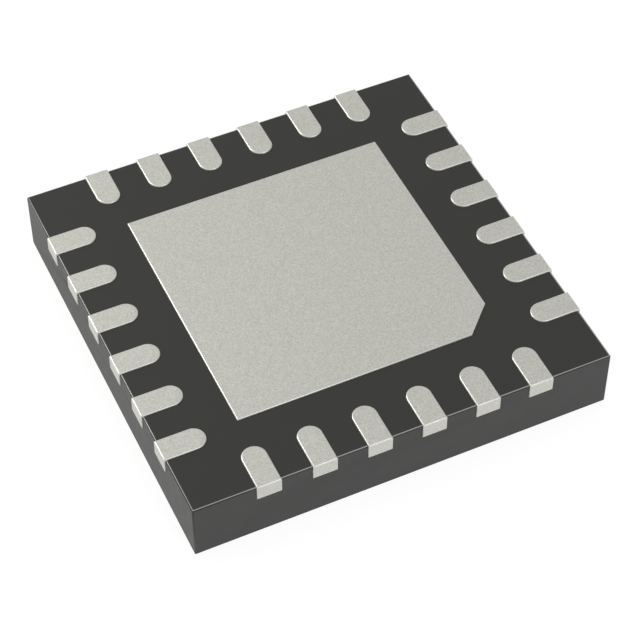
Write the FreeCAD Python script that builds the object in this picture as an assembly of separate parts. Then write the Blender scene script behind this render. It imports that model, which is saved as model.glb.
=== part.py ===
"""A 24-terminal quad flat no-lead (QFN) package, 5 x 5 mm, lying with its terminals up.

Millimetres. The origin is the centre of the marking face, which the package rests on. +Z points
out of the solder side. Pin one's corner is at +X, -Y, and the pins run clockwise from it when
the solder side is seen from above.

The lead frame (the leads and the die paddle) is etched from one sheet of copper. The die is
glued to the paddle's inner face, below it in this frame, and a wire joins each bond pad of the
die to the inner face of its lead. The mould compound fills everything between them.
"""

import FreeCAD
import Part
import math
import os

# Moulded body, whose outer edges are broken by a narrow chamfer
body_side = 5.00
body_height = 0.78
body_edge_break = 0.012

# Round dimple in the marking face, beside pin one
dimple_radius = 0.20
dimple_depth = 0.03
dimple_inset = 0.60

# Lead frame sheet, how far it stands out of the solder face, and the chamfer of its solder edges
frame_thickness = 0.20
half_etch_thickness = 0.10
frame_proud = 0.02
frame_edge_break = 0.010

# Leads: the exposed land has a full-round tip, and a square half-etched tongue runs on inside
lead_pitch = 0.65
lead_width = 0.29
lead_reach = 0.525
lead_overhang = 0.015
corner_gap = 0.18

# Die paddle, whose solder side is the exposed pad
pad_gap = 0.38
pad_chamfer = 0.35
pad_rim = 0.10
tongue_gap = 0.13

# Die and the glue under it
die_side = 2.20
die_thickness = 0.20
glue_thickness = 0.02
glue_margin = 0.05

# Bond pads, in one row along each side of the die
bond_row_margin = 0.35
bond_pad_inset = 0.08

# Bond wires: a ball on the die, a neck, a loop and a stitch on the lead
wire_diameter = 0.025
wire_facets = 8
ball_diameter = 0.07
ball_height = 0.02
neck_height = 0.09
loop_height = 0.14
crest_run = 0.09
stitch_length = 0.06
stitch_inset = 0.22

# Levels of the stack, from the solder side down
solder_level = body_height + frame_proud
frame_level = solder_level - frame_thickness
etch_level = frame_level + half_etch_thickness
glue_level = frame_level - glue_thickness
die_level = glue_level - die_thickness

# Distances out from the centre
body_half = body_side / 2
lead_root = -body_half - lead_overhang
land_tip = body_half - lead_reach
pad_half = land_tip - pad_gap
rim_half = pad_half + pad_rim
tongue_tip = rim_half + tongue_gap
bond_pad_out = die_side / 2 - bond_pad_inset
stitch_out = tongue_tip + stitch_inset

# As many leads on a side as stay clear of the next side's leads at the corners
row_end = lead_reach + lead_width / 2 + corner_gap
leads_per_side = int((body_side - 2 * row_end) / lead_pitch) + 1
bond_pad_pitch = (die_side - 2 * bond_row_margin) / (leads_per_side - 1)

QUARTER_TURN = 90.0
LEVEL_TOLERANCE = 1e-6
Z_AXIS = FreeCAD.Vector(0, 0, 1)
CENTRE = FreeCAD.Vector(0, 0, 0)


def vec(x, y, z=0.0):
    return FreeCAD.Vector(x, y, z)


def extruded(profile, bottom, top):
    """A closed flat wire at z = 0, as a solid between two levels."""
    solid = Part.Face(profile).extrude(vec(0, 0, top - bottom))
    solid.translate(vec(0, 0, bottom))
    return solid


def slab(side, bottom, top):
    """A square plate about the Z axis."""
    return Part.makeBox(side, side, top - bottom, vec(-side / 2, -side / 2, bottom))


def lies_at(edge, level):
    """True for an edge that runs along one level."""
    box = edge.BoundBox
    return abs(box.ZMin - level) < LEVEL_TOLERANCE and abs(box.ZMax - level) < LEVEL_TOLERANCE


def broken_rim(plate, level, leg):
    """A flat plate whose edges at one level are broken by a narrow chamfer."""
    rim = [edge for edge in plate.Edges if lies_at(edge, level)]
    return plate.makeChamfer(leg, rim)


def turned(shape, quarter_turns):
    """A copy of a shape, turned clockwise about the Z axis."""
    copy = shape.copy()
    copy.rotate(CENTRE, Z_AXIS, -QUARTER_TURN * quarter_turns)
    return copy


def land_outline():
    """Outline of the land of a lead on the -Y side: straight flanks and a full-round tip."""
    radius = lead_width / 2
    shoulder = -land_tip - radius
    left = Part.LineSegment(vec(-radius, lead_root), vec(-radius, shoulder))
    nose = Part.Arc(vec(-radius, shoulder), vec(0, -land_tip), vec(radius, shoulder))
    right = Part.LineSegment(vec(radius, shoulder), vec(radius, lead_root))
    end = Part.LineSegment(vec(radius, lead_root), vec(-radius, lead_root))
    return Part.Wire([edge.toShape() for edge in (left, nose, right, end)])


def chamfered_square(half, chamfer):
    """Outline of the paddle, with the corner cut off at pin one."""
    corners = [
        vec(-half, -half),
        vec(half - chamfer, -half),
        vec(half, -half + chamfer),
        vec(half, half),
        vec(-half, half),
        vec(-half, -half),
    ]
    return Part.makePolygon(corners)


def make_lead():
    """One lead in the middle of the -Y side: the exposed land, and the tongue behind it."""
    land = extruded(land_outline(), frame_level, solder_level)
    land = broken_rim(land, solder_level, frame_edge_break)
    tongue_length = -tongue_tip - lead_root
    tongue_corner = vec(-lead_width / 2, lead_root, frame_level)
    tongue = Part.makeBox(lead_width, tongue_length, half_etch_thickness, tongue_corner)
    return land.fuse(tongue).removeSplitter()


def make_paddle():
    """The die paddle: a full-thickness plate inside a half-etched rim that the mould grips."""
    rim_chamfer = pad_chamfer + pad_rim * (2 - math.sqrt(2))
    plate = extruded(chamfered_square(pad_half, pad_chamfer), frame_level, solder_level)
    plate = broken_rim(plate, solder_level, frame_edge_break)
    rim = extruded(chamfered_square(rim_half, rim_chamfer), frame_level, etch_level)
    return plate.fuse(rim).removeSplitter()


def facet_outline(diameter, z):
    """A regular outline whose flats lie a diameter apart, one of them facing along X."""
    corner_radius = diameter / 2 / math.cos(math.pi / wire_facets)
    step = 2 * math.pi / wire_facets
    corners = []
    for index in range(wire_facets + 1):
        angle = step * (index % wire_facets + 0.5)
        corners.append(vec(corner_radius * math.cos(angle), corner_radius * math.sin(angle), z))
    return Part.makePolygon(corners)


def make_wire(span):
    """A bond wire in the XZ plane, from its ball at x = 0 to the end of its stitch at x = span.

    The die's face is at z = 0 here, and the loop rises along +Z.
    """
    lead_height = die_level - frame_level
    stitch_height = lead_height + wire_diameter / 2
    path = Part.makePolygon([
        vec(0, 0, ball_height / 2),
        vec(0, 0, neck_height),
        vec(crest_run, 0, loop_height),
        vec(span - stitch_length, 0, stitch_height),
        vec(span, 0, stitch_height),
    ])
    section = facet_outline(wire_diameter, ball_height / 2)
    mitred = 1
    run = path.makePipeShell([section], True, False, mitred)
    ball = Part.Face(facet_outline(ball_diameter, 0)).extrude(vec(0, 0, ball_height))
    return run.fuse(ball).removeSplitter()


def seat_wire(index):
    """The wire of one lead of the -Y side, turned over onto the die's face."""
    place = (leads_per_side - 1) / 2 - index
    start = vec(place * bond_pad_pitch, -bond_pad_out, die_level)
    stop = vec(place * lead_pitch, -stitch_out, die_level)
    across = stop.sub(start)
    wire = make_wire(across.Length)
    wire.rotate(CENTRE, vec(1, 0, 0), 180)
    wire.rotate(CENTRE, Z_AXIS, math.degrees(math.atan2(across.y, across.x)))
    wire.translate(start)
    return wire


def make_row():
    """Leads and wires of the -Y side, in pin order from +X to -X."""
    lead = make_lead()
    leads = []
    wires = []
    for index in range(leads_per_side):
        place = (leads_per_side - 1) / 2 - index
        copy = lead.copy()
        copy.translate(vec(place * lead_pitch, 0, 0))
        leads.append(copy)
        wires.append(seat_wire(index))
    return leads, wires


def make_body(embedded):
    """The mould compound, with a pocket for all that it was moulded round."""
    block = slab(body_side, 0, body_height)
    block = block.makeChamfer(body_edge_break, block.Edges)
    dimple_centre = vec(body_half - dimple_inset, -body_half + dimple_inset, 0)
    dimple = Part.makeCylinder(dimple_radius, dimple_depth, dimple_centre)
    return block.cut([dimple] + embedded)


def build():
    """All pieces of the package by node name."""
    pieces = {}
    pieces["exposed_pad"] = make_paddle()
    pieces["die_attach"] = slab(die_side + 2 * glue_margin, glue_level, frame_level)
    pieces["silicon_die"] = slab(die_side, die_level, glue_level)
    leads, wires = make_row()
    for side in range(4):
        for index in range(leads_per_side):
            pin = side * leads_per_side + index + 1
            pieces[f"lead_{pin:02d}"] = turned(leads[index], side)
            pieces[f"bond_wire_{pin:02d}"] = turned(wires[index], side)
    pieces["mold_body"] = make_body(list(pieces.values()))
    return pieces


os.makedirs("parts", exist_ok=True)
for name, shape in build().items():
    solids = shape.Solids
    if len(solids) != 1 or not shape.isValid():
        raise ValueError(f"{name}: {len(solids)} solids, valid {shape.isValid()}")
    solids[0].exportStep(f"parts/{name}.step")
    print(name, round(solids[0].Volume, 5), len(solids[0].Faces))
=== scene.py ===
import math

import bmesh
import bpy
from mathutils import Matrix, Vector


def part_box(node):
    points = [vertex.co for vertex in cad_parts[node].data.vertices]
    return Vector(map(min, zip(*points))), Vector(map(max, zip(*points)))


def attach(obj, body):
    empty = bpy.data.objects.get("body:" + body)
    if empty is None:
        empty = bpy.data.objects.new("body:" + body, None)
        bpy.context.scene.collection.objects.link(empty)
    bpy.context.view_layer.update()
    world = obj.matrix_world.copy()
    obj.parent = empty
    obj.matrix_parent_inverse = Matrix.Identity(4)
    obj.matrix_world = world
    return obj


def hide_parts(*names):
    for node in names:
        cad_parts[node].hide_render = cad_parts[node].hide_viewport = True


# A quad flat no-lead package, 5 x 5 mm, lying on its marking face with the terminals up.
# The mould compound is smooth and nearly black, and the leads and the pad have matte tin plate.
# Everything is in metres, in the frame of the solids.

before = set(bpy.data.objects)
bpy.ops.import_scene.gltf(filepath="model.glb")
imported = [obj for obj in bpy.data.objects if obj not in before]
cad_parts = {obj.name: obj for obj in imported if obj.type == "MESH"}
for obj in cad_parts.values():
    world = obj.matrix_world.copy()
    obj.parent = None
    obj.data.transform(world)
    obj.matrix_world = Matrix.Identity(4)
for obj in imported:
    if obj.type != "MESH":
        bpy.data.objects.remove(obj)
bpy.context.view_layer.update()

MM = 0.001

# Rounding that turns the solids' narrow chamfers into round edges, from both of their sides
MOULD_ROUNDING = 0.0083 * MM
PLATE_ROUNDING = 0.0069 * MM
ROUNDING_STEPS = 3

# Height part of the normals of flat and of upright faces. The rims lie between the two, and the
# band that carries the painted highlight is the part of a rim above the third.
FLAT_NORMAL = 0.999
UPRIGHT_NORMAL = 0.05
PAINTED_HIGHLIGHT_NORMAL = 0.85

# How far apart two places may lie and still count as one
MERGE_DISTANCE = 0.0002 * MM

# Angles between two faces: of one flat, of the least sharp edge, and of an edge too steep for a
# side of a chamfer
FLAT_ANGLE = math.radians(0.5)
SHARP_ANGLE = math.radians(35)
STEEP_ANGLE = math.radians(70)

# Weight of large faces over small ones in the shading, of at most 100
FACE_WEIGHT = 100

# The photograph's camera: angles in degrees, and the place that it looks at
CAMERA_AZIMUTH = -24.898
CAMERA_ELEVATION = 49.3185
CAMERA_ROLL = -0.0616
CAMERA_DISTANCE = 25.861 * MM
CAMERA_TARGET = Vector((0.0965, -0.0653, 0)) * MM
FOCAL_PIXELS = 2227.4
IMAGE_PIXELS = 640
SENSOR_WIDTH = 36.0
NEAREST_SEEN = CAMERA_DISTANCE / 20
FARTHEST_SEEN = CAMERA_DISTANCE * 400

# The mould: colours of the solder face, of the sides, paler by painted light, and of the painted
# highlight along the upper band of the rim
MOULD_IOR = 1.5
MOULD_FACE_COLOURS = ((0.0150, 0.0150, 0.0132), (0.0165, 0.0165, 0.0146))
# The sides' colours are paler and warmer than the face's: painted light
MOULD_SIDE_PAINTED_LIGHT_COLOURS = ((0.022, 0.022, 0.0208), (0.033, 0.033, 0.0312))
# A pale colour that paints a highlight along the upper band of the rim
MOULD_PAINTED_HIGHLIGHT_COLOUR = (0.32, 0.32, 0.315)
MOULD_RIM_ROUGHNESS = 0.22

# The tin plate
TIN_COLOURS = ((0.53, 0.53, 0.49), (0.73, 0.73, 0.68))
TIN_RIM_COLOUR = (0.69, 0.69, 0.655)
TIN_RIM_ROUGHNESS = 0.40

# The pieces inside the mould
SILICON_COLOURS = ((0.16, 0.17, 0.20), (0.20, 0.21, 0.245))
GLUE_COLOURS = ((0.45, 0.45, 0.43), (0.66, 0.66, 0.63))
GOLD_COLOURS = ((0.86, 0.60, 0.22), (0.94, 0.70, 0.30))

# Most values of a noise lie between these two
NOISE_LOW = 0.3
NOISE_HIGH = 0.7

# The floor, just below the part, and the light of the surroundings
FLOOR_SIZE = 3.0
FLOOR_GAP = 0.001 * MM
FLOOR_COLOUR = (0.80, 0.80, 0.80, 1)
FLOOR_SHADE = (0.24, 0.24, 0.24, 1)
FLOOR_GLOW = 0.84
WORLD_LIGHT = 0.70

SIDES = 4
LEADS = sorted(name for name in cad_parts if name.startswith("lead_"))
WIRES = sorted(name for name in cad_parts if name.startswith("bond_wire_"))


def node_centre(node):
    low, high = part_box(node)
    return (Vector(low) + Vector(high)) / 2


# Helpers for node trees


def new_material(name):
    """An empty node material, with its tree, its surface shader and a millimetre position."""
    material = bpy.data.materials.new(name)
    material.use_nodes = True
    tree = material.node_tree
    shader = tree.nodes["Principled BSDF"]
    place = tree.nodes.new("ShaderNodeTexCoord")
    scale = tree.nodes.new("ShaderNodeMapping")
    scale.inputs["Scale"].default_value = (1 / MM, 1 / MM, 1 / MM)
    tree.links.new(place.outputs["Object"], scale.inputs["Vector"])
    return material, tree, shader, scale.outputs["Vector"]


def noise(tree, position, per_mm, detail=2.0, roughness=0.5):
    """Noise with a given number of grains in a millimetre."""
    node = tree.nodes.new("ShaderNodeTexNoise")
    node.inputs["Scale"].default_value = per_mm
    node.inputs["Detail"].default_value = detail
    node.inputs["Roughness"].default_value = roughness
    tree.links.new(position, node.inputs["Vector"])
    return node.outputs["Fac"]


def blend_range(tree, factor, low, high):
    """A noise spread over a range of values."""
    node = tree.nodes.new("ShaderNodeMapRange")
    node.inputs["From Min"].default_value = NOISE_LOW
    node.inputs["From Max"].default_value = NOISE_HIGH
    node.inputs["To Min"].default_value = low
    node.inputs["To Max"].default_value = high
    tree.links.new(factor, node.inputs["Value"])
    return node.outputs["Result"]


def feed(tree, socket, value):
    """Links an input to another socket, or sets it to a value."""
    if isinstance(value, bpy.types.NodeSocket):
        tree.links.new(value, socket)
    else:
        socket.default_value = value


def two_colours(tree, factor, first, second):
    """One colour where the factor is 0 and the other where it is 1."""
    node = tree.nodes.new("ShaderNodeMix")
    node.data_type = "RGBA"
    for name, colour in (("A", first), ("B", second)):
        if isinstance(colour, bpy.types.NodeSocket):
            tree.links.new(colour, node.inputs[name])
        else:
            node.inputs[name].default_value = (*colour, 1)
    tree.links.new(factor, node.inputs["Factor"])
    return node.outputs["Result"]


def worked_out(tree, operation, first, second):
    """The result of a Math node on two sockets or numbers."""
    node = tree.nodes.new("ShaderNodeMath")
    node.operation = operation
    feed(tree, node.inputs[0], first)
    feed(tree, node.inputs[1], second)
    return node.outputs[0]


def add_bump(tree, shader, height, depth, strength):
    """Relief of a given depth in metres."""
    node = tree.nodes.new("ShaderNodeBump")
    node.inputs["Strength"].default_value = strength
    node.inputs["Distance"].default_value = depth
    tree.links.new(height, node.inputs["Height"])
    tree.links.new(node.outputs["Normal"], shader.inputs["Normal"])


def face_mark(tree, name):
    """A number that the piece's faces carry."""
    node = tree.nodes.new("ShaderNodeAttribute")
    node.attribute_name = name
    return node.outputs["Fac"]


def two_values(tree, factor, first, second):
    """One value where the factor is 0 and the other where it is 1."""
    node = tree.nodes.new("ShaderNodeMix")
    tree.links.new(first, node.inputs["A"])
    node.inputs["B"].default_value = second
    tree.links.new(factor, node.inputs["Factor"])
    return node.outputs["Result"]


def mould_compound():
    """Black epoxy full of silica, paler on its sides by painted light, smooth round the solder face
    with a painted highlight.
    """
    material, tree, shader, position = new_material("mould_compound")
    shader.inputs["IOR"].default_value = MOULD_IOR
    cloud = noise(tree, position, per_mm=6.0, detail=3.0)
    filler = noise(tree, position, per_mm=60.0)
    face = two_colours(tree, cloud, *MOULD_FACE_COLOURS)
    # Painted light: the sides get a paler, warmer colour than the solder face; the filler grain on them
    # is their own
    side = two_colours(tree, filler, *MOULD_SIDE_PAINTED_LIGHT_COLOURS)
    colour = two_colours(tree, face_mark(tree, "side"), face, side)
    # Painted highlight: a pale colour on the upper band of the rounding round the solder face
    colour = two_colours(tree, face_mark(tree, "worn"), colour, MOULD_PAINTED_HIGHLIGHT_COLOUR)
    tree.links.new(colour, shader.inputs["Base Color"])
    roughness = blend_range(tree, cloud, low=0.50, high=0.54)
    roughness = two_values(tree, face_mark(tree, "rim"), roughness, MOULD_RIM_ROUGHNESS)
    tree.links.new(roughness, shader.inputs["Roughness"])
    add_bump(tree, shader, filler, depth=0.0002 * MM, strength=0.4)
    return material


def matte_tin():
    """Electroplated matte tin: a soft grey-white metal with a fine grain, burnished on its rims."""
    material, tree, shader, position = new_material("matte_tin")
    shader.inputs["Metallic"].default_value = 1.0
    grain = noise(tree, position, per_mm=58.0, detail=3.0, roughness=0.65)
    cloud = noise(tree, position, per_mm=5.0)
    rim = face_mark(tree, "rim")
    colour = two_colours(tree, blend_range(tree, grain, low=0.0, high=1.0), *TIN_COLOURS)
    colour = two_colours(tree, rim, colour, TIN_RIM_COLOUR)
    tree.links.new(colour, shader.inputs["Base Color"])
    roughness = blend_range(tree, cloud, low=0.58, high=0.63)
    roughness = two_values(tree, rim, roughness, TIN_RIM_ROUGHNESS)
    tree.links.new(roughness, shader.inputs["Roughness"])
    add_bump(tree, shader, grain, depth=0.0012 * MM, strength=0.5)
    return material


def polished_silicon():
    """Blue-grey silicon with a clean ground face."""
    material, tree, shader, position = new_material("polished_silicon")
    shader.inputs["Metallic"].default_value = 0.6
    grinding = noise(tree, position, per_mm=25.0)
    tree.links.new(two_colours(tree, grinding, *SILICON_COLOURS), shader.inputs["Base Color"])
    tree.links.new(blend_range(tree, grinding, low=0.16, high=0.24), shader.inputs["Roughness"])
    return material


def silver_glue():
    """Epoxy filled with silver flakes."""
    material, tree, shader, position = new_material("silver_glue")
    shader.inputs["Metallic"].default_value = 0.5
    flakes = noise(tree, position, per_mm=50.0)
    tree.links.new(two_colours(tree, flakes, *GLUE_COLOURS), shader.inputs["Base Color"])
    tree.links.new(blend_range(tree, flakes, low=0.4, high=0.6), shader.inputs["Roughness"])
    return material


def gold_wire():
    """Drawn gold with faint lines of the die."""
    material, tree, shader, position = new_material("gold_wire")
    shader.inputs["Metallic"].default_value = 1.0
    drawing = noise(tree, position, per_mm=120.0)
    tree.links.new(two_colours(tree, drawing, *GOLD_COLOURS), shader.inputs["Base Color"])
    tree.links.new(blend_range(tree, drawing, low=0.18, high=0.28), shader.inputs["Roughness"])
    return material


# Rounded copies of the solids


def merged_copy(node, name):
    """A copy of a solid's mesh as its own piece, with whole flat faces in place of triangles."""
    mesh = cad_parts[node].data.copy()
    mesh.name = name
    mesh.materials.clear()
    work = bmesh.new()
    work.from_mesh(mesh)
    bmesh.ops.remove_doubles(work, verts=work.verts, dist=MERGE_DISTANCE)
    bmesh.ops.dissolve_limit(
        work, angle_limit=FLAT_ANGLE, use_dissolve_boundaries=False, verts=work.verts, edges=work.edges
    )
    work.to_mesh(mesh)
    work.free()
    piece = bpy.data.objects.new(name, mesh)
    bpy.context.scene.collection.objects.link(piece)
    return piece


def mark_edges(piece, wanted):
    """Gives a full bevel weight to each edge that a test picks by its two ends and its angle."""
    work = bmesh.new()
    work.from_mesh(piece.data)
    weight = work.edges.layers.float.new("bevel_weight_edge")
    for edge in work.edges:
        start, end = [vert.co for vert in edge.verts]
        edge[weight] = 1.0 if wanted(start, end, edge.calc_face_angle(0)) else 0.0
    work.to_mesh(piece.data)
    work.free()


def round_edges(piece, radius):
    """Rounds the marked edges, and leaves a plain mesh whose flats are shaded flat."""
    bevel = piece.modifiers.new("rounding", "BEVEL")
    bevel.width = radius
    bevel.segments = ROUNDING_STEPS
    bevel.limit_method = "WEIGHT"
    bevel.use_clamp_overlap = False
    shading = piece.modifiers.new("shading", "WEIGHTED_NORMAL")
    shading.keep_sharp = True
    shading.weight = FACE_WEIGHT
    shade_smooth(piece.data)
    bake_modifiers(piece)


def mark_faces(piece, name, wanted):
    """Gives a mark of 1 to each face that a test picks by its normal."""
    marks = piece.data.attributes.new(name, "FLOAT", "FACE")
    for face, mark in zip(piece.data.polygons, marks.data):
        mark.value = 1.0 if wanted(face.normal) else 0.0


def on_rim(normal):
    """A test for the faces that round an edge of the solder side."""
    return UPRIGHT_NORMAL < normal.z < FLAT_NORMAL


def on_painted_highlight_band(normal):
    """A test for the upper faces of that rounding, which carry the painted highlight."""
    return PAINTED_HIGHLIGHT_NORMAL < normal.z < FLAT_NORMAL


def on_side(normal):
    """A test for upright faces."""
    return abs(normal.z) <= UPRIGHT_NORMAL


def shade_smooth(mesh):
    mesh.shade_smooth()
    mesh.set_sharp_from_angle(angle=SHARP_ANGLE)


def bake_modifiers(piece):
    """Puts a piece's evaluated mesh in place of its modifiers."""
    depsgraph = bpy.context.evaluated_depsgraph_get()
    mesh = bpy.data.meshes.new_from_object(
        piece.evaluated_get(depsgraph), preserve_all_data_layers=True, depsgraph=depsgraph
    )
    piece.modifiers.clear()
    old = piece.data
    piece.data = mesh
    mesh.name = piece.name
    if old.users == 0:
        bpy.data.meshes.remove(old)


def finish_piece(piece, material, nodes):
    """Gives a finished piece its material, and lets it stand for its solids."""
    piece.data.materials.clear()
    piece.data.materials.append(material)
    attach(piece, "root")
    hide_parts(*nodes)


def chamfer_sides(low, high):
    """A test for the edges along both sides of the chamfers of the body's block."""
    planes = [(axis, corner[axis]) for corner in (low, high) for axis in range(3)]

    def test(start, end, angle):
        if not SHARP_ANGLE < angle < STEEP_ANGLE:
            return False
        for axis, level in planes:
            if abs(start[axis] - level) < MERGE_DISTANCE and abs(end[axis] - level) < MERGE_DISTANCE:
                return True
        return False

    return test


def all_sharp(start, end, angle):
    """A test for every sharp edge."""
    return angle > SHARP_ANGLE


def make_mould(material):
    """The moulded body, softened along its outer edges."""
    piece = merged_copy("mold_body", "moulded_body")
    mark_edges(piece, chamfer_sides(*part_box("mold_body")))
    round_edges(piece, MOULD_ROUNDING)
    mark_faces(piece, "rim", on_rim)
    # The upper band of the rim carries the painted highlight
    mark_faces(piece, "worn", on_painted_highlight_band)
    mark_faces(piece, "side", on_side)
    finish_piece(piece, material, ["mold_body"])


def make_pad(material):
    """The die paddle, softened along its edges."""
    piece = merged_copy("exposed_pad", "thermal_pad")
    mark_edges(piece, all_sharp)
    round_edges(piece, PLATE_ROUNDING)
    mark_faces(piece, "rim", on_rim)
    finish_piece(piece, material, ["exposed_pad"])


# Terminals, one lead repeated round the body


def node_input(tree, name, kind):
    """Adds a named input to a geometry tree."""
    tree.interface.new_socket(name, in_out="INPUT", socket_type=kind)


def add_node(tree, kind, **inputs):
    """A geometry node with its named inputs set to values or linked to other sockets."""
    node = tree.nodes.new(kind)
    for name, value in inputs.items():
        feed(tree, node.inputs[name.replace("_", " ")], value)
    return node


def terminal_tree():
    """Copies one lead along a row, and the row round the body."""
    tree = bpy.data.node_groups.new("terminals_round_body", "GeometryNodeTree")
    tree.is_modifier = True
    node_input(tree, "Lead", "NodeSocketObject")
    node_input(tree, "Leads in a Row", "NodeSocketInt")
    node_input(tree, "Pitch", "NodeSocketFloat")
    node_input(tree, "Rows", "NodeSocketInt")
    node_input(tree, "Material", "NodeSocketMaterial")
    tree.interface.new_socket("Geometry", in_out="OUTPUT", socket_type="NodeSocketGeometry")
    given = tree.nodes.new("NodeGroupInput").outputs
    result = tree.nodes.new("NodeGroupOutput")

    lead = add_node(tree, "GeometryNodeObjectInfo", Object=given["Lead"], As_Instance=True)
    back = worked_out(tree, "MULTIPLY", given["Pitch"], -1.0)
    step = add_node(tree, "ShaderNodeCombineXYZ", X=back)
    row = add_node(
        tree, "GeometryNodeMeshLine", Count=given["Leads in a Row"], Offset=step.outputs[0]
    )
    row_of_leads = add_node(
        tree, "GeometryNodeInstanceOnPoints", Points=row.outputs[0], Instance=lead.outputs["Geometry"]
    )

    corners = add_node(tree, "GeometryNodeMeshLine", Count=given["Rows"])
    corners.inputs["Offset"].default_value = (0, 0, 0)
    index = tree.nodes.new("GeometryNodeInputIndex")
    clockwise_step = worked_out(tree, "DIVIDE", -2 * math.pi, given["Rows"])
    turn = worked_out(tree, "MULTIPLY", index.outputs[0], clockwise_step)
    angle = add_node(tree, "ShaderNodeCombineXYZ", Z=turn)
    all_rows = add_node(
        tree,
        "GeometryNodeInstanceOnPoints",
        Points=corners.outputs[0],
        Instance=row_of_leads.outputs[0],
        Rotation=angle.outputs[0],
    )
    real = add_node(tree, "GeometryNodeRealizeInstances", Geometry=all_rows.outputs[0])
    painted = add_node(
        tree, "GeometryNodeSetMaterial", Geometry=real.outputs[0], Material=given["Material"]
    )
    tree.links.new(painted.outputs[0], result.inputs[0])
    return tree


def set_inputs(modifier, tree, **values):
    """Sets a modifier's inputs by the names that its tree gives them."""
    names = {item.name: item.identifier for item in tree.interface.items_tree if item.in_out == "INPUT"}
    for name, value in values.items():
        modifier[names[name.replace("_", " ")]] = value


def make_terminals(material):
    """All leads in one piece, copied from the first one of pin one's row."""
    lead = merged_copy(LEADS[0], "lead_pattern")
    mark_edges(lead, all_sharp)
    round_edges(lead, PLATE_ROUNDING)
    mark_faces(lead, "rim", on_rim)

    terminals = bpy.data.objects.new("terminals", bpy.data.meshes.new("terminals"))
    bpy.context.scene.collection.objects.link(terminals)
    tree = terminal_tree()
    modifier = terminals.modifiers.new("rows", "NODES")
    modifier.node_group = tree
    pitch = (node_centre(LEADS[1]) - node_centre(LEADS[0])).length
    set_inputs(
        modifier,
        tree,
        Lead=lead,
        Leads_in_a_Row=len(LEADS) // SIDES,
        Pitch=pitch,
        Rows=SIDES,
        Material=material,
    )
    bake_modifiers(terminals)
    bpy.data.objects.remove(lead)
    finish_piece(terminals, material, LEADS)


def dress_hidden(tin, silicon, glue, gold):
    """Materials for the solids that stay as they are, inside the mould."""
    finishes = {"silicon_die": silicon, "die_attach": glue}
    finishes.update({wire: gold for wire in WIRES})
    for node, material in finishes.items():
        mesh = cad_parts[node].data
        mesh.materials.clear()
        mesh.materials.append(material)


# Studio


def photo_camera():
    """A camera at the photograph's place, with its field of view."""
    azimuth = math.radians(CAMERA_AZIMUTH)
    elevation = math.radians(CAMERA_ELEVATION)
    back = Vector((
        math.sin(azimuth) * math.cos(elevation),
        -math.cos(azimuth) * math.cos(elevation),
        math.sin(elevation),
    ))
    data = bpy.data.cameras.new("camera")
    data.sensor_width = SENSOR_WIDTH
    data.lens = FOCAL_PIXELS / IMAGE_PIXELS * SENSOR_WIDTH
    data.clip_start = NEAREST_SEEN
    data.clip_end = FARTHEST_SEEN
    camera = bpy.data.objects.new("camera", data)
    bpy.context.scene.collection.objects.link(camera)
    roll = Matrix.Rotation(math.radians(CAMERA_ROLL), 3, "Z")
    turn = back.to_track_quat("Z", "Y").to_matrix() @ roll
    place = CAMERA_TARGET + back * CAMERA_DISTANCE
    camera.matrix_world = Matrix.Translation(place) @ turn.to_4x4()
    bpy.context.scene.camera = camera


def seen_directly(tree):
    """1 where the camera sees a surface itself, or through gloss or glass."""
    ray = tree.nodes.new("ShaderNodeLightPath").outputs
    plain_or_gloss = worked_out(tree, "MAXIMUM", ray["Is Camera Ray"], ray["Is Glossy Ray"])
    return worked_out(tree, "MAXIMUM", plain_or_gloss, ray["Is Transmission Ray"])


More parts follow.
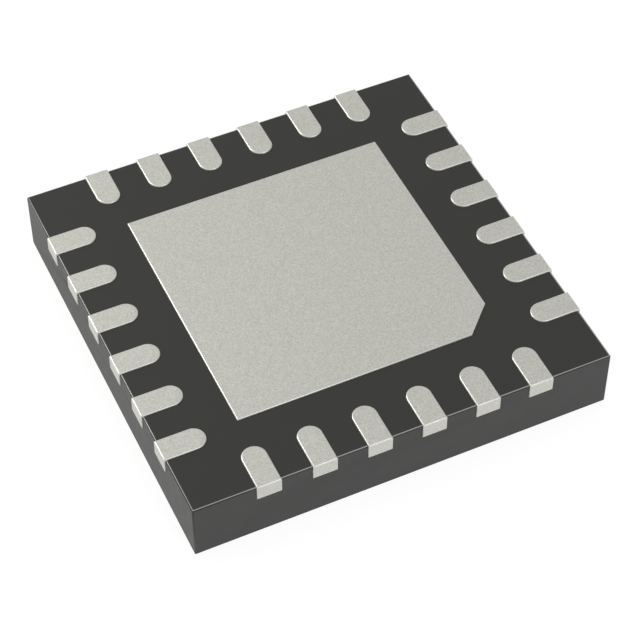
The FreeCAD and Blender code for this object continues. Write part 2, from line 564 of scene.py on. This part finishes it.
def studio_floor():
    """A white floor that takes a pale shadow."""
    work = bmesh.new()
    below = Matrix.Translation((0, 0, -FLOOR_GAP))
    bmesh.ops.create_grid(work, x_segments=1, y_segments=1, size=FLOOR_SIZE / 2, matrix=below)
    mesh = bpy.data.meshes.new("floor")
    work.to_mesh(mesh)
    work.free()
    floor = bpy.data.objects.new("floor", mesh)
    bpy.context.scene.collection.objects.link(floor)
    material = bpy.data.materials.new("white_floor")
    material.use_nodes = True
    tree = material.node_tree
    tree.nodes.remove(tree.nodes["Principled BSDF"])
    plain = tree.nodes.new("ShaderNodeBsdfDiffuse")
    plain.inputs["Color"].default_value = FLOOR_COLOUR
    shaded = tree.nodes.new("ShaderNodeBsdfDiffuse")
    shaded.inputs["Color"].default_value = FLOOR_SHADE
    glow = tree.nodes.new("ShaderNodeEmission")
    glow.inputs["Strength"].default_value = FLOOR_GLOW
    both = tree.nodes.new("ShaderNodeAddShader")
    tree.links.new(shaded.outputs[0], both.inputs[0])
    tree.links.new(glow.outputs[0], both.inputs[1])
    choice = tree.nodes.new("ShaderNodeMixShader")
    tree.links.new(seen_directly(tree), choice.inputs[0])
    tree.links.new(plain.outputs[0], choice.inputs[1])
    tree.links.new(both.outputs[0], choice.inputs[2])
    tree.links.new(choice.outputs[0], tree.nodes["Material Output"].inputs["Surface"])
    mesh.materials.append(material)


def studio_world():
    """Even white light from all round."""
    world = bpy.data.worlds.new("studio")
    bpy.context.scene.world = world
    world.use_nodes = True
    light = world.node_tree.nodes["Background"]
    light.inputs["Color"].default_value = (1, 1, 1, 1)
    light.inputs["Strength"].default_value = WORLD_LIGHT


def soft_lamp(name, direction, distance, size, radiance, colour):
    """A square lamp that faces the part, given by the brightness of its surface."""
    data = bpy.data.lights.new(name, "AREA")
    data.shape = "SQUARE"
    data.size = size
    data.color = colour
    data.energy = radiance * math.pi * size * size
    lamp = bpy.data.objects.new(name, data)
    bpy.context.scene.collection.objects.link(lamp)
    aim = Vector(direction).normalized()
    turn = aim.to_track_quat("Z", "Y").to_matrix()
    lamp.matrix_world = Matrix.Translation(aim * distance) @ turn.to_4x4()


def studio_lamps():
    """Soft lamps on the left and in front."""
    soft_lamp(
        "left_lamp",
        direction=(-0.45, 0.60, 0.66),
        distance=30 * MM,
        size=11 * MM,
        radiance=6.2,
        colour=(1.0, 0.985, 0.92),
    )
    soft_lamp(
        "front_lamp",
        direction=(0.22, -0.70, 0.68),
        distance=50 * MM,
        size=18 * MM,
        radiance=4.6,
        colour=(0.95, 0.985, 1.0),
    )


bpy.context.scene.view_settings.view_transform = "Standard"
photo_camera()
studio_floor()
studio_world()
studio_lamps()

tin = matte_tin()
make_mould(mould_compound())
make_pad(tin)
make_terminals(tin)
dress_hidden(tin, polished_silicon(), silver_glue(), gold_wire())
